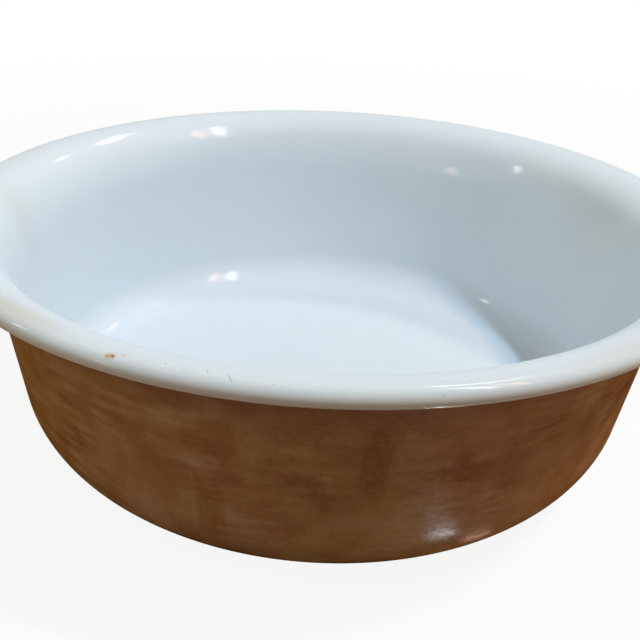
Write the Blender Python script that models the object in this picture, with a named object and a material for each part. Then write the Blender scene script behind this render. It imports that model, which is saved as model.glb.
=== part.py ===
"""Round serving bowl with an everted, round-edged lip: a turned porcelain body under its glazes.

Units are metres, +Z is up.  The origin is the centre of the foot ring, on the surface that the bowl
stands on.  Every piece is one half-profile turned about Z.

A profile is a list of points (radius, height, normal radius, normal height) on the finished, glazed
surface.  It runs from the middle of the floor out over the lip and down the outside.  The glazes and
the porcelain under them are the same points, moved inwards along their normals.
"""
import math

import bpy

# Driving dimensions
RIM_DIAMETER = 0.230
HEIGHT = 0.077
WALL_THICKNESS = 0.0049
WALL_TAPER = math.radians(7.0)
FLARE_RADIUS = 0.045          # slow sweep of the inner wall, up to the lip
LIP_LEAN = math.radians(22.0)     # from upright, where the flare runs into the lip
LIP_RADIUS = 0.0135           # quick sweep of the inner wall over on to the lip
LIP_FLAT = 0.0008             # level top of the lip, up to its half-round edge
HEEL_RADIUS = 0.0265          # turn of the outer wall on to the underside
CORNER_THICKNESS = 0.003      # through the heel, from the underside to the cove
FLOOR_THICKNESS = 0.0065
FOOT_HEIGHT = 0.0015
FOOT_INSET = 0.0035           # from the end of the heel's turn to the foot ring
FOOT_WIDTH = 0.005
FOOT_EDGE = 0.0006            # rounding of the foot ring's two edges
GLAZE_THICKNESS = 0.0004
LAYER_GAP = 0.0003            # clearance between fused layers, and at the edge of each glaze

# Facets: sides round the bowl, and steps along each arc of the profile
SIDES = 48
COVE_STEPS = 6
FLARE_STEPS = 3
LIP_STEPS = 6
EDGE_STEPS = 10
HEEL_STEPS = 7
FOOT_EDGE_STEPS = 2

# Sizes that follow from them
EDGE_RADIUS = WALL_THICKNESS / 2
BODY_INSET = GLAZE_THICKNESS + LAYER_GAP
FLOOR_LEVEL = FOOT_HEIGHT + FLOOR_THICKNESS

# Angles of the outward normals, counted from +radius towards +Z
UP = math.pi / 2
DOWN = -math.pi / 2
INNER_WALL = math.pi - WALL_TAPER
OUTER_WALL = -WALL_TAPER
INNER_LEAN = math.pi - LIP_LEAN
OUTER_LEAN = -LIP_LEAN

# Glazes and clay: colour (linear RGBA), roughness
WHITE_GLAZE = ((0.70, 0.79, 0.85, 1.0), 0.12)
BROWN_GLAZE = ((0.22, 0.09, 0.027, 1.0), 0.35)
BARE_PORCELAIN = ((0.72, 0.68, 0.61, 1.0), 0.7)


def polar(centre, radius, angle):
    """The point at an angle on a circle in the (radius, height) plane."""
    return centre[0] + radius * math.cos(angle), centre[1] + radius * math.sin(angle)


def arc(centre, radius, first, last, steps, hollow=False):
    """Profile points along an arc between two normals.

    The normal at each point has the angle that the arc has reached.  On a hollow arc the normals
    point at the centre, so the points lie on its far side.
    """
    side = -radius if hollow else radius
    points = []
    for step in range(steps + 1):
        angle = first + (last - first) * step / steps
        r, z = polar(centre, side, angle)
        points.append((r, z, math.cos(angle), math.sin(angle)))
    return points


def inset(points, depth):
    """The profile moved inwards along its normals, as (radius, height)."""
    return [(r - depth * nr, z - depth * nz) for r, z, nr, nz in points]


def lip_centres():
    """Centres of the half-round edge, of the lip's sweep and of the flare.

    The edge and the sweep both touch the level top of the lip.  The flare runs into the sweep where
    the wall leans by LIP_LEAN.
    """
    edge = (RIM_DIAMETER / 2 - EDGE_RADIUS, HEIGHT - EDGE_RADIUS)
    lip = (edge[0] - LIP_FLAT, HEIGHT - LIP_RADIUS)
    flare = polar(lip, LIP_RADIUS - FLARE_RADIUS, INNER_LEAN)
    return edge, lip, flare


def wall_radius(point, height):
    """Radius at a height on the tapered wall line through a point."""
    return point[0] - math.tan(WALL_TAPER) * (point[1] - height)


def tangent_centre(point, normal, level, radius):
    """Centre of the arc that joins a wall line to a level line, both on the arc's outer side.

    The wall line passes through the point.  The normal's angle points from the wall away from the
    arc's centre.
    """
    height = level + radius
    on_wall = wall_radius(point, height)
    return on_wall - radius / math.cos(normal), height


def cove_radius(inner, outer):
    """Radius of the cove that leaves CORNER_THICKNESS at the middle of the heel.

    An arc in the corner of two lines starts a fixed share of its radius away from the corner, so
    the thickness along the corner's bisector sets the difference of the two radii.
    """
    half_angle = (UP + WALL_TAPER) / 2
    share = 1 / math.sin(half_angle) - 1
    across = wall_radius(inner, FLOOR_LEVEL) - wall_radius(outer, FOOT_HEIGHT)
    sharp = FLOOR_THICKNESS * math.sin(half_angle) - across * math.cos(half_angle)
    return HEEL_RADIUS - (sharp - CORNER_THICKNESS) / share


def finished_profile():
    """The glazed surface, as its two stretches, and the radius where the heel ends.

    The outside follows the inside at the wall's thickness, so its sweeps have the same centres.
    """
    edge, lip, flare = lip_centres()
    under_lip = LIP_RADIUS - WALL_THICKNESS
    under_flare = FLARE_RADIUS - WALL_THICKNESS
    inner = polar(flare, FLARE_RADIUS, INNER_WALL)
    outer = polar(flare, under_flare, INNER_WALL)
    seam = LAYER_GAP / 2

    cove = cove_radius(inner, outer)
    cove_centre = tangent_centre(inner, OUTER_WALL, FLOOR_LEVEL, cove)
    heel_centre = tangent_centre(outer, OUTER_WALL, FOOT_HEIGHT, HEEL_RADIUS)

    lining = [(0.0, FLOOR_LEVEL, 0.0, 1.0)]
    lining += arc(cove_centre, cove, UP, INNER_WALL, COVE_STEPS, hollow=True)
    lining += arc(flare, FLARE_RADIUS, INNER_WALL, INNER_LEAN, FLARE_STEPS)
    lining += arc(lip, LIP_RADIUS, INNER_LEAN, UP, LIP_STEPS)[1:]
    lining += arc(edge, EDGE_RADIUS, UP, DOWN + seam / EDGE_RADIUS, EDGE_STEPS)

    coat = [(edge[0] - seam, HEIGHT - WALL_THICKNESS, 0.0, -1.0)]
    coat += arc(lip, under_lip, DOWN, OUTER_LEAN, LIP_STEPS, hollow=True)
    coat += arc(flare, under_flare, OUTER_LEAN, OUTER_WALL, FLARE_STEPS, hollow=True)[1:]
    coat += arc(heel_centre, HEEL_RADIUS, OUTER_WALL, DOWN, HEEL_STEPS)
    return lining, coat, heel_centre[0]


def foot_section(outer, inner, top):
    """Bare foot ring, from its outer side under the heel to the axis in the recess."""
    edge = min(FOOT_EDGE, FOOT_WIDTH / 2, FOOT_HEIGHT)
    points = [(outer, top)]
    points += inset(arc((outer - edge, edge), edge, 0.0, DOWN, FOOT_EDGE_STEPS), 0.0)
    points += inset(arc((inner + edge, edge), edge, DOWN, -math.pi, FOOT_EDGE_STEPS), 0.0)
    points += [(inner, top), (0.0, top)]
    return points


def layer(points):
    """Closed section of a glaze: the finished surface out, and its underside back."""
    return inset(points, 0.0) + inset(points, GLAZE_THICKNESS)[::-1]


def glaze_material(name, finish):
    """Plain material with a colour and a roughness."""
    colour, roughness = finish
    material = bpy.data.materials.new(name)
    material.diffuse_color = colour
    material.use_nodes = True
    shader = material.node_tree.nodes["Principled BSDF"]
    shader.inputs["Base Color"].default_value = colour
    shader.inputs["Roughness"].default_value = roughness
    shader.inputs["Metallic"].default_value = 0.0
    return material


def turned(name, section, finish, closed):
    """One piece: its section turned about Z by a Screw modifier."""
    count = len(section)
    edges = [(i, i + 1) for i in range(count - 1)]
    if closed:
        edges.append((count - 1, 0))
    mesh = bpy.data.meshes.new(name)
    mesh.from_pydata([(r, 0.0, z) for r, z in section], edges, [])
    mesh.materials.append(glaze_material(name, finish))
    piece = bpy.data.objects.new(name, mesh)
    bpy.context.scene.collection.objects.link(piece)
    screw = piece.modifiers.new("Turn", "SCREW")
    screw.axis = "Z"
    screw.angle = 2 * math.pi
    screw.steps = SIDES
    screw.render_steps = SIDES
    screw.use_merge_vertices = True
    screw.merge_threshold = 0.00001
    return piece


def build():
    """Make the four layers of the bowl."""
    lining, coat, heel_end = finished_profile()
    foot_outer = heel_end - FOOT_INSET
    foot_inner = foot_outer - FOOT_WIDTH
    coat.append((foot_outer + LAYER_GAP, FOOT_HEIGHT, 0.0, -1.0))
    base = [(foot_inner - LAYER_GAP, FOOT_HEIGHT, 0.0, -1.0), (0.0, FOOT_HEIGHT, 0.0, -1.0)]

    body = inset(lining, BODY_INSET) + inset(coat[:-1], BODY_INSET)
    body += foot_section(foot_outer, foot_inner, FOOT_HEIGHT + BODY_INSET)
    base_section = inset(base, GLAZE_THICKNESS)[::-1] + inset(base, 0.0)

    turned("porcelain_body", body, BARE_PORCELAIN, closed=False)
    turned("white_glaze_lining", layer(lining), WHITE_GLAZE, closed=False)
    turned("brown_glaze_coat", layer(coat), BROWN_GLAZE, closed=True)
    turned("base_glaze", base_section, WHITE_GLAZE, closed=False)


def clear_scene():
    """Remove every object that is already there."""
    for item in list(bpy.data.objects):
        bpy.data.objects.remove(item, do_unlink=True)


clear_scene()
build()
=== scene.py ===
"""Glazed serving bowl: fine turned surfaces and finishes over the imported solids.

Every piece is a half-profile turned about Z.  A profile is an array with one row for each point: radius,
height, and the radius and height of the outward normal.  It runs from the middle of the floor out over the
lip and down the outside.  A bearing is an angle round the bowl, from the front (-Y) towards the right (+X).
"""
import functools
import math

import bpy
import numpy as np
from bpy.props import FloatProperty, FloatVectorProperty, PointerProperty
from mathutils import Matrix, Vector


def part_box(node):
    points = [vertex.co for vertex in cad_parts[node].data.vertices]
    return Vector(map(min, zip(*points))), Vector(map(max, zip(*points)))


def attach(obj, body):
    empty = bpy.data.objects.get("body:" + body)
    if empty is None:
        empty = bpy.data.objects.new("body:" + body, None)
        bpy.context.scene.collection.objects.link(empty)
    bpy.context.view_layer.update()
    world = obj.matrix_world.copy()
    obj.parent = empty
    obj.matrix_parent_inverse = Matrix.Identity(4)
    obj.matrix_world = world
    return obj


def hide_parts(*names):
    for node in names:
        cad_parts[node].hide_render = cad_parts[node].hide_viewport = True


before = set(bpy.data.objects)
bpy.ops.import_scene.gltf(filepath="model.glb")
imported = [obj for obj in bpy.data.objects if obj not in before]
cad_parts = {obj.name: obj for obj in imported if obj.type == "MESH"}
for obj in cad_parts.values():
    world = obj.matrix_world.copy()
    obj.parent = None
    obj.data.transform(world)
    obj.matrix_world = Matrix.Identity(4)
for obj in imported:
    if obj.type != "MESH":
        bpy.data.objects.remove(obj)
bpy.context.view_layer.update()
LINING_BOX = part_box("white_glaze_lining")

bl_info = {
    "name": "Glazed bowl",
    "version": (1, 0, 0),
    "blender": (4, 5, 0),
    "location": "3D View > Sidebar > Bowl",
    "description": "Turns a porcelain bowl with its glazes and sets it on a studio floor",
    "category": "Object",
}

UP = math.pi / 2
DOWN = -math.pi / 2


def length(name, description, default):
    """A length in metres for a property group."""
    return FloatProperty(name=name, description=description, default=default, min=0.0, precision=5,
                         unit="LENGTH")


def angle(name, description, degrees):
    """An angle for a property group, given in degrees."""
    return FloatProperty(name=name, description=description, default=math.radians(degrees), subtype="ANGLE")


def share(name, description, default):
    """A number from 0 to 1 for a property group."""
    return FloatProperty(name=name, description=description, default=default, min=0.0, max=1.0,
                         subtype="FACTOR")


def colour(name, description, default):
    """A linear colour for a property group."""
    return FloatVectorProperty(name=name, description=description, default=default, min=0.0, max=1.0,
                               size=3, subtype="COLOR")


class BowlSizes(bpy.types.PropertyGroup):
    """Sizes of the bowl, on its finished, glazed surface."""

    rim_diameter: length("Rim diameter", "Across the lip", LINING_BOX[1].x - LINING_BOX[0].x)
    height: length("Height", "From the table to the top of the lip", LINING_BOX[1].z)
    wall: length("Wall", "Thickness of the wall and of the lip", 0.0049)
    taper: angle("Taper", "Lean of the wall from upright", 7.0)
    flare: length("Flare", "Radius of the inner wall's slow sweep, up to the lip", 0.045)
    lip_lean: angle("Lip lean", "Lean of the wall from upright where the flare runs into the lip", 22.0)
    lip: length("Lip", "Radius of the inner wall's quick sweep over on to the lip", 0.0135)
    lip_flat: length("Lip flat", "Level top of the lip, up to its half-round edge", 0.0008)
    heel: length("Heel", "Radius of the turn from wall to underside", 0.0265)
    corner: length("Corner", "Thickness through the heel", 0.003)
    floor: length("Floor", "Thickness of the floor", 0.0065)
    foot_height: length("Foot height", "Depth of the recess under the bowl", 0.0015)
    foot_inset: length("Foot inset", "From the end of the heel's turn to the foot ring", 0.0035)
    foot_width: length("Foot width", "Width of the bare foot ring", 0.005)
    foot_edge: length("Foot edge", "Rounding of the foot ring's edges", 0.0006)
    glaze: length("Glaze", "Thickness of the glaze", 0.0004)
    gap: length("Gap", "Clearance between the layers", 0.0003)
    unevenness: length("Unevenness", "How far the fired glaze strays from a true turned shape", 0.00004)


class BowlFinish(bpy.types.PropertyGroup):
    """Colours and gloss of the glazes and the clay."""

    white: colour("White glaze", "Bluish white of the lining", (0.70, 0.79, 0.85))
    lip: colour("Worn lip", "White of the lip, where the glaze is thin", (0.668, 0.75, 0.79))
    white_gloss: share("White gloss", "Weight of the clear gloss on the white glaze", 1.0)
    white_roughness: share("White roughness", "Roughness of the white glaze", 0.10)
    brown_dark: colour("Dark brown", "Where the brushed glaze lies thick", (0.232, 0.0800, 0.0160))
    brown: colour("Brown", "Middle tone of the brushed glaze", (0.320, 0.143, 0.0490))
    brown_light: colour("Light brown", "Where the brush left little glaze", (0.412, 0.227, 0.124))
    # Painted shade under the lip: a darker, redder brown
    brown_painted_shade: colour("Pooled brown", "Dull brown under the lip", (0.232, 0.101, 0.070))
    # Besides random patches, these paint light round the bowl: gold left, greyer red sheen right
    brown_red_and_painted_sheen: colour("Red tint", "Tint of the redder patches of the brown", (0.97, 0.90, 1.0))
    brown_gold_and_painted_light: colour("Golden tint", "Tint of the golden patches of the brown", (0.97, 1.0, 0.74))
    brown_roughness: share("Brown roughness", "Roughness of the brown glaze", 0.20)
    brown_gloss: share("Brown gloss", "Weight of the clear gloss on the brown glaze", 0.5)
    brown_gloss_roughness: share("Brown gloss roughness", "Roughness of that clear gloss", 0.31)
    clay: colour("Bare porcelain", "Unglazed clay of the foot ring", (0.72, 0.68, 0.61))
    clay_roughness: share("Clay roughness", "Roughness of the bare clay", 0.7)
    # Brown glaze run over the edge, and painted shade and painted brown reflection on the lip's lower side
    bleed_and_shade: colour("Bleed", "Lower side of the lip, where brown bleeds into the white", (0.50, 0.375, 0.32))
    chip: colour("Chip", "Stained clay in the chips of the lip", (0.55, 0.35, 0.165))
    # This colour also paints shade inside, below the lip on the right
    stain: colour("Stain", "Yellowish food stain on the lip", (0.56, 0.49, 0.36))
    scuff: colour("Scuff", "Grey scuffs and hairlines on the lip", (0.20, 0.19, 0.17))


class StageLook(bpy.types.PropertyGroup):
    """Floor and daylight of the studio."""

    floor: colour("Floor", "Pale floor, as the camera sees it", (0.85, 0.85, 0.85))
    bounce: colour("Bounce", "Light that the floor throws back on to the bowl", (0.32, 0.265, 0.155))
    sky: share("Sky", "Strength of the soft light from all round", 0.25)
    sky_colour: colour("Sky colour", "Colour of that soft light", (0.97, 0.99, 1.0))
    mirrored: share("Mirrored", "Share of plain white in the sky, as the glazes mirror it", 0.45)
    white_share: share("White share", "Share of plain white in the floor, as the camera sees it", 0.9)


# Profile

# Steps along the arcs of the profile, for each step along its straight stretches
COVE_STEPS = 2
LIP_STEPS = 2
EDGE_STEPS = 6
HEEL_STEPS = 3


def arc(centre, radius, first, last, steps, hollow=False):
    """Profile rows along an arc: centre + radius * (cos t, sin t), with t from first to last.

    The normal at each row has the angle t.  On a hollow arc the normals point at the centre, so the
    rows lie on its far side.
    """
    t = np.linspace(first, last, steps + 1)
    normal = np.stack((np.cos(t), np.sin(t)), axis=1)
    reach = -radius if hollow else radius
    return np.hstack((np.asarray(centre) + reach * normal, normal))


def line(start, end, steps):
    """Profile rows between two rows, without them: start + (end - start) * share."""
    between = np.linspace(0.0, 1.0, steps + 1)[1:-1, None]
    return start + (end - start) * between


def inset(rows, depth):
    """Rows moved inwards along their normals."""
    moved = rows.copy()
    moved[:, :2] -= depth * rows[:, 2:]
    return moved


def polar(centre, radius, t):
    """The point at an angle on a circle in the (radius, height) plane."""
    return np.array((centre[0] + radius * math.cos(t), centre[1] + radius * math.sin(t)))


class Profile:
    """The bowl's half-profile: its circles, worked out from the sizes, and its stretches of rows."""

    def __init__(self, sizes):
        self.sizes = sizes
        self.edge_radius = sizes.wall / 2
        self.floor_level = sizes.foot_height + sizes.floor
        self.inner_wall = math.pi - sizes.taper
        self.outer_wall = -sizes.taper
        self.inner_lean = math.pi - sizes.lip_lean
        self.outer_lean = -sizes.lip_lean
        self.under_lip = sizes.lip - sizes.wall
        self.under_flare = sizes.flare - sizes.wall
        self.place_lip()
        self.place_corner()

    def place_lip(self):
        """Centres of the half-round edge, of the lip's sweep and of the flare.

        The edge and the sweep both touch the level top of the lip.  The flare runs into the sweep where
        the wall has the lean of the lip.
        """
        sizes = self.sizes
        self.edge = np.array((sizes.rim_diameter / 2, sizes.height)) - self.edge_radius
        self.lip = np.array((self.edge[0] - sizes.lip_flat, sizes.height - sizes.lip))
        self.flare = polar(self.lip, sizes.lip - sizes.flare, self.inner_lean)

    def wall_radius(self, point, height):
        """Radius at a height on the leaning wall line through a point."""
        return point[0] - math.tan(self.sizes.taper) * (point[1] - height)

    def corner_centre(self, point, level, radius):
        """Centre of the arc that joins a wall line to a level line, both on the arc's outer side."""
        height = level + radius
        return np.array((self.wall_radius(point, height) - radius / math.cos(self.sizes.taper), height))

    def place_corner(self):
        """Cove inside and heel outside.

        An arc in the corner of two lines starts a fixed share of its radius away from the corner, so
        the thickness along the corner's bisector sets the difference of the two radii.
        """
        sizes = self.sizes
        inner = polar(self.flare, sizes.flare, self.inner_wall)
        outer = polar(self.flare, self.under_flare, self.inner_wall)
        half_angle = (UP + sizes.taper) / 2
        start_share = 1 / math.sin(half_angle) - 1
        across = self.wall_radius(inner, self.floor_level) - self.wall_radius(outer, sizes.foot_height)
        sharp = sizes.floor * math.sin(half_angle) - across * math.cos(half_angle)
        self.cove_radius = sizes.heel - (sharp - sizes.corner) / start_share
        self.cove = self.corner_centre(inner, self.floor_level, self.cove_radius)
        self.heel = self.corner_centre(outer, sizes.foot_height, sizes.heel)
        self.foot_outer = self.heel[0] - sizes.foot_inset
        self.foot_inner = self.foot_outer - sizes.foot_width

    def lining(self, fine):
        """Rows of the white glaze: floor, cove, wall, flare, lip and edge, with fine steps on a line."""
        sizes = self.sizes
        seam = sizes.gap / 2 / self.edge_radius
        middle = np.array((0.0, self.floor_level, 0.0, 1.0))
        cove = arc(self.cove, self.cove_radius, UP, self.inner_wall, COVE_STEPS * fine, hollow=True)
        flare = arc(self.flare, sizes.flare, self.inner_wall, self.inner_lean, fine)
        lip = arc(self.lip, sizes.lip, self.inner_lean, UP, LIP_STEPS * fine)
        edge = arc(self.edge, self.edge_radius, UP, DOWN + seam, EDGE_STEPS * fine)
        floor = line(middle, cove[0], fine)
        wall = line(cove[-1], flare[0], fine)
        return np.vstack((middle, floor, cove, wall, flare, lip[1:], edge))

    def coat(self, fine):
        """Rows of the brown glaze: the hollow under the lip, wall, heel and the way to the foot."""
        sizes = self.sizes
        start = np.array((self.edge[0] - sizes.gap / 2, sizes.height - sizes.wall, 0.0, -1.0))
        lip = arc(self.lip, self.under_lip, DOWN, self.outer_lean, LIP_STEPS * fine, hollow=True)
        flare = arc(self.flare, self.under_flare, self.outer_lean, self.outer_wall, fine, hollow=True)
        heel = arc(self.heel, sizes.heel, self.outer_wall, DOWN, HEEL_STEPS * fine)
        foot = np.array((self.foot_outer + sizes.gap, sizes.foot_height, 0.0, -1.0))
        wall = line(flare[-1], heel[0], fine)
        under = line(heel[-1], foot, fine)
        return np.vstack((start, lip, flare[1:], wall, heel, under, foot))

    def foot(self, fine, top):
        """Rows of the bare foot ring, from its outer side under the heel to the axis in the recess."""
        edge = self.sizes.foot_edge
        outer_edge = arc((self.foot_outer - edge, edge), edge, 0.0, DOWN, fine)
        inner_edge = arc((self.foot_inner + edge, edge), edge, DOWN, -math.pi, fine)
        start = np.array((self.foot_outer, top, 1.0, 0.0))
        corner = np.array((self.foot_inner, top, -1.0, 0.0))
        middle = np.array((0.0, top, 0.0, -1.0))
        return np.vstack((start, outer_edge, inner_edge, corner, middle))


# Surfaces

# Columns round the bowl, and steps along a straight stretch on the two large glazed faces and elsewhere
COLUMNS = 240
FINE = 14
COARSE = 4

# Dents in the lip: bearing (degrees), distance out from the crown of the edge, radius and depth (metres)
DENTS = (
    (-22.1, 0.00135, 0.00060, 0.00010),
    (-21.6, 0.00100, 0.00065, 0.00020),
    (16.7, -0.00580, 0.00050, 0.00018),
)

# Close columns across each dent, and their reach in radii of the dent
DENT_COLUMNS = 14
DENT_MARGIN = 1.3

# Bound on the slope down from the edge's centre, which keeps the angle at 0 inside the crown
STEEP = 1000.0

# Slow waves of the fired glaze: waves round the bowl, turn over its height and start (radians)
WAVES = ((3, 5.0, 0.0), (5, -7.0, 2.1), (2, 9.0, 0.8))

SHARP_ANGLE = math.radians(50.0)


def bearings():
    """Sorted bearings of the columns: an even round, with close columns across each dent."""
    even = np.linspace(-math.pi, math.pi, COLUMNS, endpoint=False)
    reach = DENT_MARGIN * np.linspace(-1.0, 1.0, DENT_COLUMNS)
    rim_radius = bpy.context.scene.bowl_sizes.rim_diameter / 2
    close = [math.radians(place) + reach * radius / rim_radius for place, _, radius, _ in DENTS]
    return np.unique(np.concatenate([even, *close]))


def across_lip(profile, rows):
    """Distance of rows out from the crown of the edge: level inside it, along the half-round outside it."""
    inwards = rows[:, 0] - profile.edge[0]
    beyond = np.maximum(inwards, 0.0)
    rise = np.maximum(rows[:, 1] - profile.edge[1], -STEEP * beyond)
    return np.minimum(inwards, 0.0) + profile.edge_radius * np.arctan2(beyond, rise)


def dent_depth(profile, rows, around):
    """Depth of the dents over a grid of rows and bearings: depth * (1 - d^2)^2, with d in radii."""
    across_rows = across_lip(profile, rows)
    depth = np.zeros((len(rows), len(around)))
    for place, out, radius, deepest in DENTS:
        along = (around - math.radians(place)) * profile.sizes.rim_diameter / 2 / radius
        across = (across_rows - out) / radius
        inside = np.clip(1 - along[None, :] ** 2 - across[:, None] ** 2, 0.0, 1.0)
        depth += deepest * inside ** 2
    return depth


def stray(profile, rows, around):
    """Depth of the glaze's slow waves: the mean of cosines of bearing and height, zero on the axis."""
    height = rows[:, 1, None] / profile.sizes.height
    waves = sum(np.cos(count * around + climb * height + start) for count, climb, start in WAVES)
    fade = rows[:, 0, None] / (profile.sizes.rim_diameter / 2)
    return profile.sizes.unevenness * waves * fade / len(WAVES)


def turn(rows, depth, around):
    """Grid of points for rows (r, z, nr, nz), moved inwards by a depth d, at the bearings b.

    Each point is ((r - d nr) sin b, -(r - d nr) cos b, z - d nz).
    """
    radius = rows[:, 0, None] - depth * rows[:, 2, None]
    height = rows[:, 1, None] - depth * rows[:, 3, None]
    parts = np.broadcast_arrays(radius * np.sin(around), -radius * np.cos(around), height)
    return np.stack(parts, axis=-1)


def round_faces(first, second, columns):
    """Quads between two rings of a grid, given the number of each ring's first point."""
    j = np.arange(columns)
    k = (j + 1) % columns
    first = np.asarray(first)[:, None]
    second = np.asarray(second)[:, None]
    return np.stack((first + j, second + j, second + k, first + k), axis=-1).reshape(-1, 4)


def turned_piece(name, grid):
    """A closed mesh from a grid of rings.

    A grid that starts and ends on the axis is closed by a fan of triangles at each pole, and any other
    grid by quads from its last ring to its first.
    """
    rows, columns, _ = grid.shape
    on_axis = np.allclose(grid[0, :, :2], 0.0)
    if on_axis:
        rings = grid[1:-1].reshape(-1, 3)
        points = np.vstack((rings, grid[0, :1], grid[-1, :1]))
        starts = np.arange(rows - 2) * columns
        quads = round_faces(starts[:-1], starts[1:], columns)
        j = np.arange(columns)
        k = (j + 1) % columns
        last = starts[-1]
        top = np.full(columns, len(rings))
        top_fan = np.stack((top, j, k), axis=1)
        bottom_fan = np.stack((last + j, top + 1, last + k), axis=1)
        faces = quads.tolist() + top_fan.tolist() + bottom_fan.tolist()
    else:
        points = grid.reshape(-1, 3)
        starts = np.arange(rows) * columns
        faces = round_faces(starts, np.roll(starts, -1), columns).tolist()
    mesh = bpy.data.meshes.new(name)
    mesh.from_pydata(points.tolist(), [], faces)
    mesh.shade_smooth()
    mesh.set_sharp_from_angle(angle=SHARP_ANGLE)
    mesh.validate()
    piece = bpy.data.objects.new(name, mesh)
    bpy.context.scene.collection.objects.link(piece)
    return piece


def shell(profile, rows, back, depth, around):
    """Grid of a glaze: its finished face, and its underside one glaze thickness down, going back."""
    underside = inset(back, profile.sizes.glaze)[::-1]
    return np.vstack((turn(rows, depth, around), turn(underside, 0.0, around)))


def put(piece, node, material):
    """Finish a piece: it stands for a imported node, rides with the bowl and has a material."""
    piece.data.materials.append(material)
    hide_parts(node)
    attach(piece, "root")


# Shader expressions

# Sockets of a Mix node that is set to colours
MIX_FACTOR = 0
MIX_FIRST = 6
MIX_SECOND = 7
MIX_RESULT = 2

NOISE_MIDDLE = 0.5
WHITE = (1.0, 1.0, 1.0, 1.0)


class Link:
    """One output of a node.  Arithmetic on links adds Math nodes, and node() adds any other node."""

    def __init__(self, owner, output=0):
        self.owner = owner
        self.tree = owner.id_data
        self.socket = owner.outputs[output]

    def node(self, kind, settings, inputs, output=0):
        """A new node with its settings set first, then its inputs, as a link to one of its outputs."""
        made = self.tree.nodes.new("ShaderNode" + kind)
        for name, value in settings.items():
            if name == "stops":
                set_stops(made.color_ramp, value)
            else:
                setattr(made, name, value)
        for name, value in inputs.items():
            if isinstance(value, Link):
                self.tree.links.new(value.socket, made.inputs[name])
            else:
                made.inputs[name].default_value = value
        return Link(made, output)

    def other(self, output):
        """Another output of the same node."""
        return Link(self.owner, output)

    def math(self, operation, first, second=0.0):
        """A Math node on one value or two."""
        return self.node("Math", {"operation": operation}, {0: first, 1: second})

    def __add__(self, other):
        return self.math("ADD", self, other)

    def __radd__(self, other):
        return self.math("ADD", other, self)

    def __sub__(self, other):
        return self.math("SUBTRACT", self, other)

    def __rsub__(self, other):
        return self.math("SUBTRACT", other, self)

    def __mul__(self, other):
        return self.math("MULTIPLY", self, other)

    def __rmul__(self, other):
        return self.math("MULTIPLY", other, self)

    def __truediv__(self, other):
        return self.math("DIVIDE", self, other)

    def __abs__(self):
        return self.math("ABSOLUTE", self)

    def __pow__(self, other):
        return self.math("POWER", self, other)

    def highest(self, other):
        """The larger of two values."""
        return self.math("MAXIMUM", self, other)

    def step(self, low, high):
        """0 below low, 1 above high, smooth between; low may be the larger one."""
        settings = {"interpolation_type": "SMOOTHSTEP"}
        return self.node("MapRange", settings, {"Value": self, "From Min": low, "From Max": high})

    def stretched(self, scales):
        """A vector with its parts multiplied."""
        return self.node("VectorMath", {"operation": "MULTIPLY"}, {0: self, 1: scales})

    def noise(self, pattern, output=0):
        """Noise from 0 to 1 at this vector, for a pattern of (scale, detail, roughness)."""
        scale, detail, roughness = pattern
        inputs = {"Vector": self, "Scale": scale, "Detail": detail, "Roughness": roughness}
        return self.node("TexNoise", {}, inputs, output)

    def swing(self, weight):
        """How far noise is from its middle, times a weight."""
        return (self - NOISE_MIDDLE) * weight

    def tinted(self, tint):
        """This colour times another."""
        settings = {"data_type": "RGBA", "blend_type": "MULTIPLY"}
        inputs = {MIX_FACTOR: 1.0, MIX_FIRST: self, MIX_SECOND: tint}
        return self.node("Mix", settings, inputs, MIX_RESULT)

    def mix(self, first, second):
        """A colour between two, by this share."""
        settings = {"data_type": "RGBA", "clamp_factor": True}
        inputs = {MIX_FACTOR: self, MIX_FIRST: first, MIX_SECOND: second}
        return self.node("Mix", settings, inputs, MIX_RESULT)


def set_stops(ramp, stops):
    """Colour stops of a ramp, as (place, colour)."""
    while len(ramp.elements) < len(stops):
        ramp.elements.new(1.0)
    for element, (place, tone) in zip(ramp.elements, stops):
        element.position = place
        element.color = tone


def rgba(tone):
    """A colour property with an alpha of 1."""
    return (tone[0], tone[1], tone[2], 1.0)


def new_material(name, base_colour, roughness):
    """A material, its main shader, and Object coordinates to read its patterns from."""
    material = bpy.data.materials.new(name)
    material.use_nodes = True
    material.diffuse_color = rgba(base_colour)
    shader = material.node_tree.nodes["Principled BSDF"]
    shader.inputs["Base Color"].default_value = rgba(base_colour)
    shader.inputs["Roughness"].default_value = roughness
    place = Link(material.node_tree.nodes.new("ShaderNodeTexCoord"), "Object")
    return material, shader, place


def feed(shader, name, link):
    """Link an expression to one of the shader's inputs."""
    link.tree.links.new(link.socket, shader.inputs[name])


def bump(height, strength, distance):
    """A bumped normal from a height."""
    return height.node("Bump", {}, {"Height": height, "Strength": strength, "Distance": distance})


def gloss(shader, place, weight, fall, roughness):
    """Clear gloss over the colour: weight * (1 - facing)^fall, so that it fades towards grazing angles."""
    facing = place.node("LayerWeight", {}, {}, "Facing")
    feed(shader, "Coat Weight", (1.0 - facing) ** fall * weight)
    shader.inputs["Coat Roughness"].default_value = roughness
    shader.inputs["Specular IOR Level"].default_value = 0.0


def around_bowl(place):
    """Bearing round the bowl in radians, radius and height at each point of the surface."""
    parts = place.node("SeparateXYZ", {}, {0: place})
    x, y, height = parts, parts.other("Y"), parts.other("Z")
    bearing = x.math("ARCTAN2", x, 0.0 - y)
    radius = (x * x + y * y) ** 0.5
    return bearing, radius, height
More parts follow.
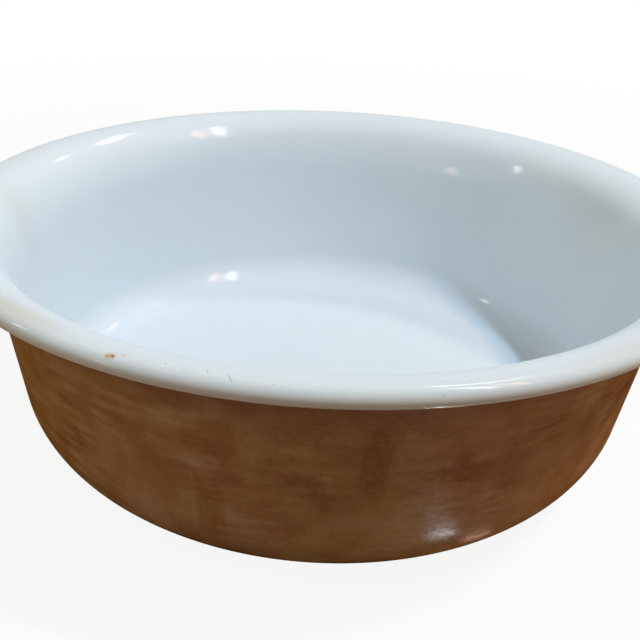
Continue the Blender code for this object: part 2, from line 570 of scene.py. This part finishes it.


# White glaze

# Wear on the lip, painted shade inside below the lip on the right, and a patch of the cove with a dull
# gloss: bearing (degrees), distance out from the crown of the edge, half length along the rim and half
# width across it (metres), strength
CHIPS = (
    (-22.15, 0.00135, 0.00060, 0.00068, 0.75),
    (-21.6, 0.00100, 0.00072, 0.00066, 1.0),
)
SCUFFS = (
    (-15.8, -0.00062, 0.00022, 0.00025, 0.7),
    (-11.2, -0.00062, 0.00024, 0.00028, 0.8),
    (-8.75, 0.0003, 0.00012, 0.00160, 0.60),
    (3.7, -0.00036, 0.00035, 0.00014, 0.3),
    (12.6, -0.0012, 0.00050, 0.00016, 0.35),
    (-24.4, -0.00144, 0.00030, 0.00016, 0.35),
    (-4.3, 0.00081, 0.00032, 0.00014, 0.3),
    (16.7, -0.0058, 0.00040, 0.00025, 0.6),
    (-43.7, -0.0058, 0.0010, 0.0002, 0.3),
    (-21.6, 0.00100, 0.00036, 0.00030, 0.92),
)
STAINS = (
    (12.2, 0.00242, 0.00045, 0.00032, 0.9),
    (-20.4, -0.0001, 0.0036, 0.00075, 0.5),
    (-17.6, 0.0003, 0.0040, 0.00055, 0.45),
    (-13.4, 0.0000, 0.0045, 0.00050, 0.45),
    (-35.0, -0.0030, 0.0090, 0.00200, 0.35),
)
SMUDGES_AND_SHADE = (
    (-88.8, -0.01235, 0.0150, 0.0070, 0.22),
    (-38.0, -0.0010, 0.0260, 0.0050, 0.45),
    # Painted yellowish shade inside, just below the lip on the right
    (106.0, -0.0140, 0.0400, 0.0070, 0.16),
    # A darker, yellower stretch of the lip's top on the front right
    (36.0, 0.0000, 0.0300, 0.0060, 0.22),
    (-21.9, 0.0011, 0.0020, 0.0016, 0.8),
)
DULLED = (
    (-125.6, -0.0268, 0.0260, 0.0150, 0.9),
)

# Share of a mark's size that has its whole strength, for clear marks and for faint ones
CRISP = 0.55
SOFT = 0.0

# Way along the rim that a scuff leans for each way out, and its share of the marks' ragged outline
SCUFF_LEAN = 0.63
SCUFF_RAGGED = 0.6

# Noise patterns: scale (per metre), detail and roughness
CLOUDS = (26.0, 3.0, 0.55)
OUTLINES = (2600.0, 3.0, 0.6)
STAIN_GAPS = (900.0, 2.0, 0.6)
SMEARS = (60.0, 3.0, 0.6)
RIPPLE = (240.0, 2.0, 0.5)

# Range of noise over which each pattern goes from none to full
CLOUD_RANGE = (0.3, 0.7)
STAIN_RANGE = (0.42, 0.62)
SMEAR_RANGE = (0.45, 0.75)

# Spread of the clouds' tone, and swing of the marks' outlines
CLOUD_SPREAD = 0.01
OUTLINE_SWING = 0.7
SMUDGE_SWING = 0.4

# Distances out from the crown between which the worn white sets in, and the lip's lower side turns to
# brown run over the edge with painted shade and painted brown reflection (metres)
WORN_LIP = (-0.004, 0.001)
BLEED_AND_SHADE_EDGE = (0.0022, 0.0048)
BLEED_AND_SHADE_STRENGTH = 0.88

# Added roughness, fall of the gloss, and strength and height of the ripple (metres)
SMEAR_ROUGHNESS = 0.05
CHIP_ROUGHNESS = 0.5
STAIN_ROUGHNESS = 0.2
WHITE_GLOSS_FALL = 1.0
RIPPLE_BUMP = (0.02, 0.0004)


def marks(bearing, out, rim_radius, places, ragged, full, lean=0.0):
    """Mask of a list of marks: each is an ellipse on the unrolled lip, with a ragged outline.

    A mark has its whole strength up to the share full of its size, and fades from there to its outline.
    It leans along the rim by the share lean of the way out.
    """
    spots = []
    for place, out_place, half_length, half_width, strength in places:
        outwards = out - out_place
        along = ((bearing - math.radians(place)) * rim_radius - outwards * lean) / half_length
        across = outwards / half_width
        distance = (along * along + across * across) ** 0.5 + ragged
        spots.append(distance.step(1.0, full) * strength)
    return functools.reduce(Link.highest, spots)


def out_from_crown(profile, radius, height):
    """Distance out from the crown of the edge, as in across_lip."""
    inwards = radius - profile.edge[0]
    beyond = inwards.highest(0.0)
    rise = (height - profile.edge[1]).highest(beyond * -STEEP)
    return inwards - beyond + beyond.math("ARCTAN2", beyond, rise) * profile.edge_radius


def white_glaze(finish, profile):
    """Bluish white glaze with faint clouds, worn and stained on the lip, with some painted shade."""
    material, shader, place = new_material("white_glaze", finish.white, finish.white_roughness)
    bearing, radius, height = around_bowl(place)
    out = out_from_crown(profile, radius, height)
    rim_radius = profile.sizes.rim_diameter / 2

    clouds = place.noise(CLOUDS)
    pale = [channel * (1 + CLOUD_SPREAD) for channel in finish.white]
    dull = [channel * (1 - CLOUD_SPREAD) for channel in finish.white]
    base = clouds.step(*CLOUD_RANGE).mix(rgba(dull), rgba(pale))
    base = out.step(*WORN_LIP).mix(base, rgba(finish.lip))
    # Brown run over the edge, with painted shade and painted brown reflection, on the lip's lower side
    base = (out.step(*BLEED_AND_SHADE_EDGE) * BLEED_AND_SHADE_STRENGTH).mix(base, rgba(finish.bleed_and_shade))

    ragged = place.noise(OUTLINES).swing(OUTLINE_SWING)
    stains = marks(bearing, out, rim_radius, STAINS, ragged, CRISP)
    stains = stains * place.noise(STAIN_GAPS).step(*STAIN_RANGE)
    # Soft marks of stain, with painted shade inside below the lip on the right
    smudges_and_shade = marks(bearing, out, rim_radius, SMUDGES_AND_SHADE, clouds.swing(SMUDGE_SWING), SOFT)
    chips = marks(bearing, out, rim_radius, CHIPS, ragged, CRISP)
    scuffs = marks(bearing, out, rim_radius, SCUFFS, ragged * SCUFF_RAGGED, CRISP, SCUFF_LEAN)
    base = stains.highest(smudges_and_shade).mix(base, rgba(finish.stain))
    base = chips.mix(base, rgba(finish.chip))
    base = scuffs.mix(base, rgba(finish.scuff))
    feed(shader, "Base Color", base)

    smears = place.noise(SMEARS).step(*SMEAR_RANGE)
    roughness = finish.white_roughness + smears * SMEAR_ROUGHNESS + chips * CHIP_ROUGHNESS
    feed(shader, "Roughness", roughness + stains * STAIN_ROUGHNESS)
    dulled = marks(bearing, out, rim_radius, DULLED, 0.0, SOFT)
    weight = (1.0 - dulled) * finish.white_gloss
    gloss(shader, place, weight, WHITE_GLOSS_FALL, finish.white_roughness)
    feed(shader, "Normal", bump(place.noise(RIPPLE), *RIPPLE_BUMP))
    return material


# Brown glaze

# Single strokes of the brush: bearing and tilt from upright (degrees), height of the middle, half length
# and half width (metres), share of the width that has the whole change, change of tone
STROKES = (
    (-14.2, 0.0, 0.0295, 0.0125, 0.0045, 0.55, -0.34),
    (8.4, 9.0, 0.0495, 0.0150, 0.0045, 0.55, -0.36),
    (10.3, 9.0, 0.0500, 0.0090, 0.0009, 0.10, 0.16),
    (20.2, -14.0, 0.0470, 0.0050, 0.0030, 0.30, -0.34),
    (-15.6, 85.0, 0.0440, 0.0090, 0.0030, 0.10, 0.22),
    (14.0, 90.0, 0.0460, 0.0360, 0.0260, 0.10, -0.24),
    (-32.0, 90.0, 0.0220, 0.0300, 0.0180, 0.10, 0.20),
)

# Bristle marks in a stroke: scale across and along it and from stroke to stroke (per metre), pattern of
# noise, contrast and the part that is taken off
BRISTLES_ACROSS = 560.0
BRISTLES_ALONG = 30.0
STROKES_APART = 1000.0
BRISTLES = (1.0, 2.0, 0.6)
BRISTLE_CONTRAST = 1.8
BRISTLE_CUT = 0.1

# Share of a stroke's half length that has the whole change
STROKE_FULL_LENGTH = 0.3

# Dabs: cells with soft borders, squashed in height, which slow noise moves over a reach (metres)
DAB_STRETCH = (1.0, 1.0, 1.25)
DAB_SCALE = 80.0
DAB_SMOOTHNESS = 0.6
DRIFT = (90.0, 2.0, 0.5)
DRIFT_REACH = 0.007

# Noise patterns, and the scales (per metre) of the two that are stretched along the wall
BLOTS = (110.0, 3.0, 0.6)
BROWN_CLOUDS = (28.0, 2.0, 0.5)
HUE_CLOUDS = (34.0, 2.0, 0.5)
BRUSHED = (45.0, 2.0, 0.5)
STREAKS = (1.0, 2.0, 0.55)
STREAK_STRETCH = (60.0, 60.0, 340.0)
HAIRS = (1.0, 2.0, 0.6)
HAIR_STRETCH = (70.0, 70.0, 1700.0)
SPECKLES = (900.0, 2.0, 0.6)
GRIT = (1500.0, 2.0, 0.6)

# Range of noise over which streaks and speckles go from none to full
BRUSHED_RANGE = (0.40, 0.62)
SPECKLE_RANGE = (0.35, 0.65)

# Tone: its middle, the ramp's stops and the weight of each pattern
TONE_MIDDLE = 0.5
TONE_STOPS = (0.1, 0.5, 0.9)
DAB_TONE = 0.30
BLOT_TONE = 0.70
CLOUD_TONE = 0.65
HAIR_TONE = 0.1
STREAK_TONE = 1.25

# Hue, from red at 0 to gold at 1: its middle, the weight of each pattern, the change for each radian to
# the right, which is painted light, gold to the left and a greyer red sheen to the right, and the change
# under the lip, which is painted shade
HUE_MIDDLE = 0.5
DAB_HUE = 0.2
CLOUD_HUE = 1.6
PAINTED_LIGHT_HUE_ROUND = -0.35
UNDER_LIP_SHADE_HUE = -0.3

# Heights of the band under the lip (metres), the strength of the shade painted there, and its loss of gloss
UNDER_LIP_BAND = (0.056, 0.070)
UNDER_LIP_SHADE_STRENGTH = 0.6
UNDER_LIP_DULLING = 0.6

# Added roughness, gloss between the speckles and its rise on them, fall of the gloss, shares of the relief,
# and its strength and height (metres)
STREAK_ROUGHNESS = 0.12
HAIR_ROUGHNESS = 0.08
SPECKLE_LOW = 0.6
SPECKLE_RISE = 0.65
BROWN_GLOSS_FALL = 2.0
HAIR_RELIEF = 0.4
GRIT_RELIEF = 0.3
BRUSH_BUMP = (0.1, 0.0003)


def stroke_tone(bearing, height, wall_radius):
    """Sum of the single strokes: each a soft box on the unrolled wall, filled with bristle marks."""
    tone = 0.0
    for middle, tilt, level, half_length, half_width, full, change in STROKES:
        across_wall = (bearing - math.radians(middle)) * wall_radius
        up_wall = height - level
        cosine, sine = math.cos(math.radians(tilt)), math.sin(math.radians(tilt))
        along = up_wall * cosine + across_wall * sine
        across = across_wall * cosine - up_wall * sine
        ends = abs(along).step(half_length, half_length * STROKE_FULL_LENGTH)
        sides = abs(across).step(half_width, half_width * full)
        parts = {0: across * BRISTLES_ACROSS, 1: along * BRISTLES_ALONG, 2: level * STROKES_APART}
        bristles = along.node("CombineXYZ", {}, parts).noise(BRISTLES)
        tone = ends * sides * (bristles * BRISTLE_CONTRAST - BRISTLE_CUT) * change + tone
    return tone


def drifting(place):
    """Places moved by slow noise: place + (noise - its middle) * reach, in each direction."""
    noise = place.noise(DRIFT, "Color")
    swing = place.node("VectorMath", {"operation": "SUBTRACT"}, {0: noise, 1: (NOISE_MIDDLE,) * 3})
    drift = place.node("VectorMath", {"operation": "SCALE"}, {0: swing, "Scale": DRIFT_REACH})
    return place.node("VectorMath", {"operation": "ADD"}, {0: place, 1: drift})


def brown_glaze(finish, profile):
    """Brushed brown glaze: soft dabs, blots, level streaks, single strokes, painted shade and light."""
    material, shader, place = new_material("brown_glaze", finish.brown, finish.brown_roughness)
    bearing, _, height = around_bowl(place)
    wall_radius = profile.heel[0] + profile.sizes.heel

    wander = drifting(place)
    cells = {"Vector": wander.stretched(DAB_STRETCH), "Scale": DAB_SCALE, "Smoothness": DAB_SMOOTHNESS}
    dabs = wander.node("TexVoronoi", {"feature": "SMOOTH_F1"}, cells, "Color")
    dab_tone = dabs.node("SeparateColor", {}, {0: dabs})
    dab_hue = dab_tone.other("Green")
    streaks = place.stretched(STREAK_STRETCH).noise(STREAKS)
    hairs = place.stretched(HAIR_STRETCH).noise(HAIRS)
    under_lip_band = height.step(*UNDER_LIP_BAND)

    tone = TONE_MIDDLE + dab_tone.swing(DAB_TONE) + wander.noise(BLOTS).swing(BLOT_TONE)
    tone = tone + place.noise(BROWN_CLOUDS).swing(CLOUD_TONE) + hairs.swing(HAIR_TONE)
    tone = tone + streaks.swing(STREAK_TONE) * place.noise(BRUSHED).step(*BRUSHED_RANGE)
    tone = tone + stroke_tone(bearing, height, wall_radius)
    tones = (finish.brown_dark, finish.brown, finish.brown_light)
    stops = [(stop, rgba(brown)) for stop, brown in zip(TONE_STOPS, tones)]
    base = tone.node("ValToRGB", {"stops": stops}, {0: tone})
    # Painted shade under the lip
    base = (under_lip_band * UNDER_LIP_SHADE_STRENGTH).mix(base, rgba(finish.brown_painted_shade))

    hue = HUE_MIDDLE + dab_hue.swing(DAB_HUE) + place.noise(HUE_CLOUDS).swing(CLOUD_HUE)
    # Painted light round the bowl, and a redder painted shade under the lip
    hue = hue + bearing * PAINTED_LIGHT_HUE_ROUND + under_lip_band * UNDER_LIP_SHADE_HUE
    tint = hue.step(0.0, 1.0).mix(rgba(finish.brown_red_and_painted_sheen), rgba(finish.brown_gold_and_painted_light))
    feed(shader, "Base Color", base.tinted(tint))

    roughness = finish.brown_roughness + streaks.swing(STREAK_ROUGHNESS) + hairs.swing(HAIR_ROUGHNESS)
    feed(shader, "Roughness", roughness)
    speckle = SPECKLE_LOW + place.noise(SPECKLES).step(*SPECKLE_RANGE) * SPECKLE_RISE
    weight = (1.0 - under_lip_band * UNDER_LIP_DULLING) * speckle * finish.brown_gloss
    gloss(shader, place, weight, BROWN_GLOSS_FALL, finish.brown_gloss_roughness)
    relief = streaks + hairs * HAIR_RELIEF + place.noise(GRIT) * GRIT_RELIEF
    feed(shader, "Normal", bump(relief, *BRUSH_BUMP))
    return material


# Bare porcelain

# Noise patterns of the grain and of iron specks, and the range of noise over which the specks set in
GRAIN = (900.0, 4.0, 0.7)
IRON = (420.0, 2.0, 0.5)
IRON_RANGE = (0.68, 0.74)
IRON_STRENGTH = 0.5

# Palest and darkest grain as shares of the clay's colour, swing of its roughness, and strength and height
# of its bump (metres)
GRAIN_PALE = 1.05
GRAIN_DARK = 0.86
GRAIN_ROUGHNESS = 0.2
GRAIN_BUMP = (0.25, 0.0003)


def bare_porcelain(finish):
    """Dry, fine biscuit with a little iron in it."""
    material, shader, place = new_material("bare_porcelain", finish.clay, finish.clay_roughness)
    grain = place.noise(GRAIN)
    iron = place.noise(IRON).step(*IRON_RANGE)
    pale = [channel * GRAIN_PALE for channel in finish.clay]
    dark = [channel * GRAIN_DARK for channel in finish.clay]
    base = grain.mix(rgba(dark), rgba(pale))
    feed(shader, "Base Color", (iron * IRON_STRENGTH).mix(base, rgba(finish.stain)))
    feed(shader, "Roughness", finish.clay_roughness + grain.swing(GRAIN_ROUGHNESS))
    feed(shader, "Normal", bump(grain, *GRAIN_BUMP))
    return material


# Pieces


class BOWL_OT_body(bpy.types.Operator):
    """Turn the porcelain body, bare on the foot ring"""

    bl_idname = "bowl.turn_body"
    bl_label = "Porcelain body"

    def execute(self, context):
        sizes = context.scene.bowl_sizes
        profile = Profile(sizes)
        depth = sizes.glaze + sizes.gap
        rows = np.vstack((inset(profile.lining(COARSE), depth), inset(profile.coat(COARSE)[:-1], depth),
                          profile.foot(COARSE, sizes.foot_height + depth)))
        around = bearings()
        piece = turned_piece("porcelain_body_turned", turn(rows, 0.0, around))
        put(piece, "porcelain_body", bare_porcelain(context.scene.bowl_finish))
        return {"FINISHED"}


class BOWL_OT_lining(bpy.types.Operator):
    """Turn the white glaze over floor, wall and lip"""

    bl_idname = "bowl.turn_lining"
    bl_label = "White lining"

    def execute(self, context):
        profile = Profile(context.scene.bowl_sizes)
        rows = profile.lining(FINE)
        around = bearings()
        depth = dent_depth(profile, rows, around) + stray(profile, rows, around)
        grid = shell(profile, rows, profile.lining(COARSE), depth, around)
        piece = turned_piece("white_glaze_lining_turned", grid)
        put(piece, "white_glaze_lining", white_glaze(context.scene.bowl_finish, profile))
        return {"FINISHED"}


class BOWL_OT_coat(bpy.types.Operator):
    """Turn the brushed brown glaze round the outside"""

    bl_idname = "bowl.turn_coat"
    bl_label = "Brown coat"

    def execute(self, context):
        profile = Profile(context.scene.bowl_sizes)
        rows = profile.coat(FINE)
        around = bearings()
        grid = shell(profile, rows, profile.coat(COARSE), stray(profile, rows, around), around)
        piece = turned_piece("brown_glaze_coat_turned", grid)
        put(piece, "brown_glaze_coat", brown_glaze(context.scene.bowl_finish, profile))
        return {"FINISHED"}


class BOWL_OT_base(bpy.types.Operator):
    """Lay the thin white glaze in the recess inside the foot ring"""

    bl_idname = "bowl.turn_base"
    bl_label = "Base glaze"

    def execute(self, context):
        sizes = context.scene.bowl_sizes
        profile = Profile(sizes)
        thick = sizes.glaze
        rim = profile.foot_inner - sizes.gap - thick / 2
        middle = sizes.foot_height + thick / 2
        edge = arc((rim, middle), thick / 2, UP, DOWN, COARSE)
        top = np.array((0.0, middle + thick / 2, 0.0, 1.0))
        bottom = np.array((0.0, middle - thick / 2, 0.0, -1.0))
        rows = np.vstack((top, line(top, edge[0], COARSE), edge, line(edge[-1], bottom, COARSE), bottom))
        piece = turned_piece("base_glaze_turned", turn(rows, 0.0, bearings()))
        put(piece, "base_glaze", bpy.data.materials["white_glaze"])
        return {"FINISHED"}


# Stage

# Camera: place (metres), heading, tilt and roll (degrees), near limit (metres), sensor (millimetres)
CAMERA_PLACE = (0.0, -0.24685, 0.16080)
CAMERA_HEADING = -2.608
CAMERA_TILT = -27.820
CAMERA_ROLL = 1.832
CLIP_START = 0.01
SENSOR_WIDTH = 36.0

# Picture, in pixels: its side, the focal length, and where the lens looks, from the top left
PICTURE_SIDE = 640
PICTURE_FOCUS = 818.5
PICTURE_AXIS = (287.9, 324.5)

# Lamps, which the glazes mirror as highlights: name, bearing and height above the horizon (degrees),
# width and height (metres), turn of the oval (degrees), power (watts), colour
LAMPS = (
    ("key", 70.5, 60.6, 0.06, 0.85, -40.0, 1.7, (0.93, 0.98, 1.0)),
    ("key_warm", 75.0, 54.2, 0.040, 0.75, -40.0, 1.15, (1.0, 0.50, 0.22)),
    ("back", 153.0, 53.0, 0.30, 0.065, 0.0, 1.45, (0.95, 0.99, 1.0)),
    ("back_warm", 151.7, 41.8, 0.14, 0.055, 24.0, 0.32, (1.0, 0.55, 0.28)),
    ("left", -86.2, 24.9, 0.06, 0.26, 17.0, 0.42, (0.95, 0.99, 1.0)),
    ("left_warm", -54.5, 7.5, 0.13, 0.22, 0.0, 0.36, (1.0, 0.68, 0.60)),
    ("front", 9.9, 30.1, 0.075, 0.30, 0.0, 0.08, (1.0, 0.99, 0.98)),
)
LAMP_DISTANCE = 1.2

# Very small lamps close to the heel, which it mirrors as glints: name, place and aim (metres), and then
# width, height, turn, power and colour as above
GLINTS = (
    ("glint_white", (0.0441, -0.0965, 0.0028), (0.0323, -0.0914, 0.0231),
     0.0042, 0.0095, -40.0, 0.0060, (0.80, 0.95, 1.0)),
    ("glint_copper", (0.0484, -0.0813, 0.0047), (0.0421, -0.0855, 0.0177),
     0.0014, 0.010, 14.0, 0.0042, (1.0, 0.60, 0.42)),
)

# Fills, which light the bowl and aren't mirrored: the same columns as the lamps
FILLS = (
    ("fill_key", 74.0, 65.0, 0.09, 0.09, 0.0, 11.3, (0.68, 0.82, 1.0)),
    ("fill_warm", 75.0, 60.0, 0.12, 0.12, 0.0, 6.0, (1.0, 0.66, 0.34)),
    ("fill_back", 154.0, 54.5, 0.16, 0.16, 0.0, 3.4, (1.0, 0.98, 0.92)),
    ("fill_front", -45.0, 38.0, 0.97, 0.97, 0.0, 2.5, (1.0, 0.80, 0.62)),
    ("fill_right", 90.0, 4.0, 0.21, 0.21, 0.0, 4.2, (1.0, 0.92, 0.72)),
    ("fill_left", -90.0, 12.0, 0.64, 0.64, 0.0, 3.2, (1.0, 0.97, 0.62)),
)
FILL_DISTANCE = 1.5
LAMP_AIM = Vector((0.0, 0.0, 0.05))

# Floor: half its side, its drop under the foot ring, and the radii between which it turns plain white
FLOOR_HALF = 6.0
FLOOR_DROP = 0.0002
SHADOW_REACH = 0.25
FLOOR_WHITE = 0.8


def seen_directly(first, mirrored):
    """1 for rays from the camera and through glass, and a share for mirrored rays."""
    camera = first.node("LightPath", {}, {}, "Is Camera Ray")
    glossy = camera.other("Is Glossy Ray") * mirrored
    return camera + glossy + camera.other("Is Transmission Ray")


def add_camera():
    """Camera at the photograph's place: heading about Z, tilt about its side, roll about its view."""
    data = bpy.data.cameras.new("camera")
    data.sensor_width = SENSOR_WIDTH
    data.lens = PICTURE_FOCUS / PICTURE_SIDE * SENSOR_WIDTH
    data.shift_x = (PICTURE_SIDE / 2 - PICTURE_AXIS[0]) / PICTURE_SIDE
    data.shift_y = (PICTURE_AXIS[1] - PICTURE_SIDE / 2) / PICTURE_SIDE
    data.clip_start = CLIP_START
    camera = bpy.data.objects.new("camera", data)
    heading = Matrix.Rotation(math.radians(-CAMERA_HEADING), 4, "Z")
    tilt = Matrix.Rotation(UP + math.radians(CAMERA_TILT), 4, "X")
    roll = Matrix.Rotation(math.radians(CAMERA_ROLL), 4, "Z")
    camera.matrix_world = Matrix.Translation(CAMERA_PLACE) @ heading @ tilt @ roll
    bpy.context.scene.collection.objects.link(camera)
    bpy.context.scene.camera = camera


def on_dome(bearing, elevation, distance):
    """The place at a bearing and a height above the horizon, on a dome over the bowl."""
    b = math.radians(bearing)
    e = math.radians(elevation)
    level = math.cos(e)
    return LAMP_AIM + distance * Vector((math.sin(b) * level, -math.cos(b) * level, math.sin(e)))


def add_lamp(name, place, aim, width, height, roll, power, tone):
    """An oval soft lamp at a place, aimed at another, which the camera doesn't see."""
    data = bpy.data.lights.new(name, "AREA")
    data.shape = "ELLIPSE"
    data.size = width
    data.size_y = height
    data.energy = power
    data.color = tone
    lamp = bpy.data.objects.new(name, data)
    lamp.location = place
    oval = Matrix.Rotation(math.radians(roll), 3, "Z")
    lamp.rotation_euler = ((place - aim).to_track_quat("Z", "Y").to_matrix() @ oval).to_euler()
    lamp.visible_camera = False
    bpy.context.scene.collection.objects.link(lamp)
    return lamp


def add_floor(look):
    """Pale floor with the bowl's shadow, nearly white to the camera and plain white far from the bowl."""
    mesh = bpy.data.meshes.new("floor")
    sides = ((-1, -1), (1, -1), (1, 1), (-1, 1))
    corners = [(x * FLOOR_HALF, y * FLOOR_HALF, -FLOOR_DROP) for x, y in sides]
    mesh.from_pydata(corners, [], [(0, 1, 2, 3)])
    floor = bpy.data.objects.new("floor", mesh)
    bpy.context.scene.collection.objects.link(floor)
    material, shader, place = new_material("floor", look.floor, 1.0)
    shader.inputs["Specular IOR Level"].default_value = 0.0
    seen = seen_directly(place, 1.0)
    feed(shader, "Base Color", seen.mix(rgba(look.bounce), rgba(look.floor)))
    white = place.node("Emission", {}, {"Color": WHITE, "Strength": 1.0})
    _, radius, _ = around_bowl(place)
    share_seen = radius.step(SHADOW_REACH, FLOOR_WHITE) * (1.0 - look.white_share) + look.white_share
    mixed = place.node("MixShader", {}, {0: seen * share_seen, 1: Link(shader), 2: white})
    output = material.node_tree.nodes["Material Output"]
    material.node_tree.links.new(mixed.socket, output.inputs["Surface"])
    mesh.materials.append(material)


def add_sky(look):
    """Soft light from all round, white to the camera and partly white in reflections."""
    world = bpy.data.worlds.new("sky")
    world.use_nodes = True
    bpy.context.scene.world = world
    soft = Link(world.node_tree.nodes["Background"])
    soft.owner.inputs["Color"].default_value = rgba(look.sky_colour)
    soft.owner.inputs["Strength"].default_value = look.sky
    white = soft.node("Background", {}, {"Color": WHITE, "Strength": 1.0})
    mixed = soft.node("MixShader", {}, {0: seen_directly(soft, look.mirrored), 1: soft, 2: white})
    world.node_tree.links.new(mixed.socket, world.node_tree.nodes["World Output"].inputs["Surface"])


class BOWL_OT_stage(bpy.types.Operator):
    """Set up the camera, lamps, floor and sky"""

    bl_idname = "bowl.set_stage"
    bl_label = "Studio stage"

    def execute(self, context):
        look = context.scene.bowl_stage
        context.scene.view_settings.view_transform = "Standard"
        add_camera()
        for name, bearing, elevation, *look_of_lamp in LAMPS:
            place = on_dome(bearing, elevation, LAMP_DISTANCE)
            add_lamp(name, place, LAMP_AIM, *look_of_lamp).visible_diffuse = False
        for name, place, aim, *look_of_lamp in GLINTS:
            add_lamp(name, Vector(place), Vector(aim), *look_of_lamp).visible_diffuse = False
        for name, bearing, elevation, *look_of_lamp in FILLS:
            place = on_dome(bearing, elevation, FILL_DISTANCE)
            add_lamp(name, place, LAMP_AIM, *look_of_lamp).visible_glossy = False
        add_floor(look)
        add_sky(look)
        return {"FINISHED"}


class BOWL_PT_panel(bpy.types.Panel):
    """Sizes, finishes and buttons of the bowl"""

    bl_idname = "BOWL_PT_panel"
    bl_label = "Glazed bowl"
    bl_space_type = "VIEW_3D"
    bl_region_type = "UI"
    bl_category = "Bowl"

    def draw(self, context):
        for operator in OPERATORS:
            self.layout.operator(operator.bl_idname)
        for group in (context.scene.bowl_sizes, context.scene.bowl_finish, context.scene.bowl_stage):
            column = self.layout.column()
            for name in group.__annotations__:
                column.prop(group, name)


GROUPS = (BowlSizes, BowlFinish, StageLook)
OPERATORS = (BOWL_OT_body, BOWL_OT_lining, BOWL_OT_coat, BOWL_OT_base, BOWL_OT_stage)
CLASSES = (*GROUPS, *OPERATORS, BOWL_PT_panel)


def register():
    """Register the classes and give the scene its settings."""
    for item in CLASSES:
        bpy.utils.register_class(item)
    bpy.types.Scene.bowl_sizes = PointerProperty(type=BowlSizes)
    bpy.types.Scene.bowl_finish = PointerProperty(type=BowlFinish)
    bpy.types.Scene.bowl_stage = PointerProperty(type=StageLook)


def unregister():
    """Take the settings off the scene and unregister the classes."""
    del bpy.types.Scene.bowl_stage
    del bpy.types.Scene.bowl_finish
    del bpy.types.Scene.bowl_sizes
    for item in reversed(CLASSES):
        bpy.utils.unregister_class(item)


def main():
    """Make the pieces and the stage."""
    register()
    bpy.ops.bowl.turn_body()
    bpy.ops.bowl.turn_lining()
    bpy.ops.bowl.turn_coat()
    bpy.ops.bowl.turn_base()
    bpy.ops.bowl.set_stage()


if __name__ == "__main__":
    main()
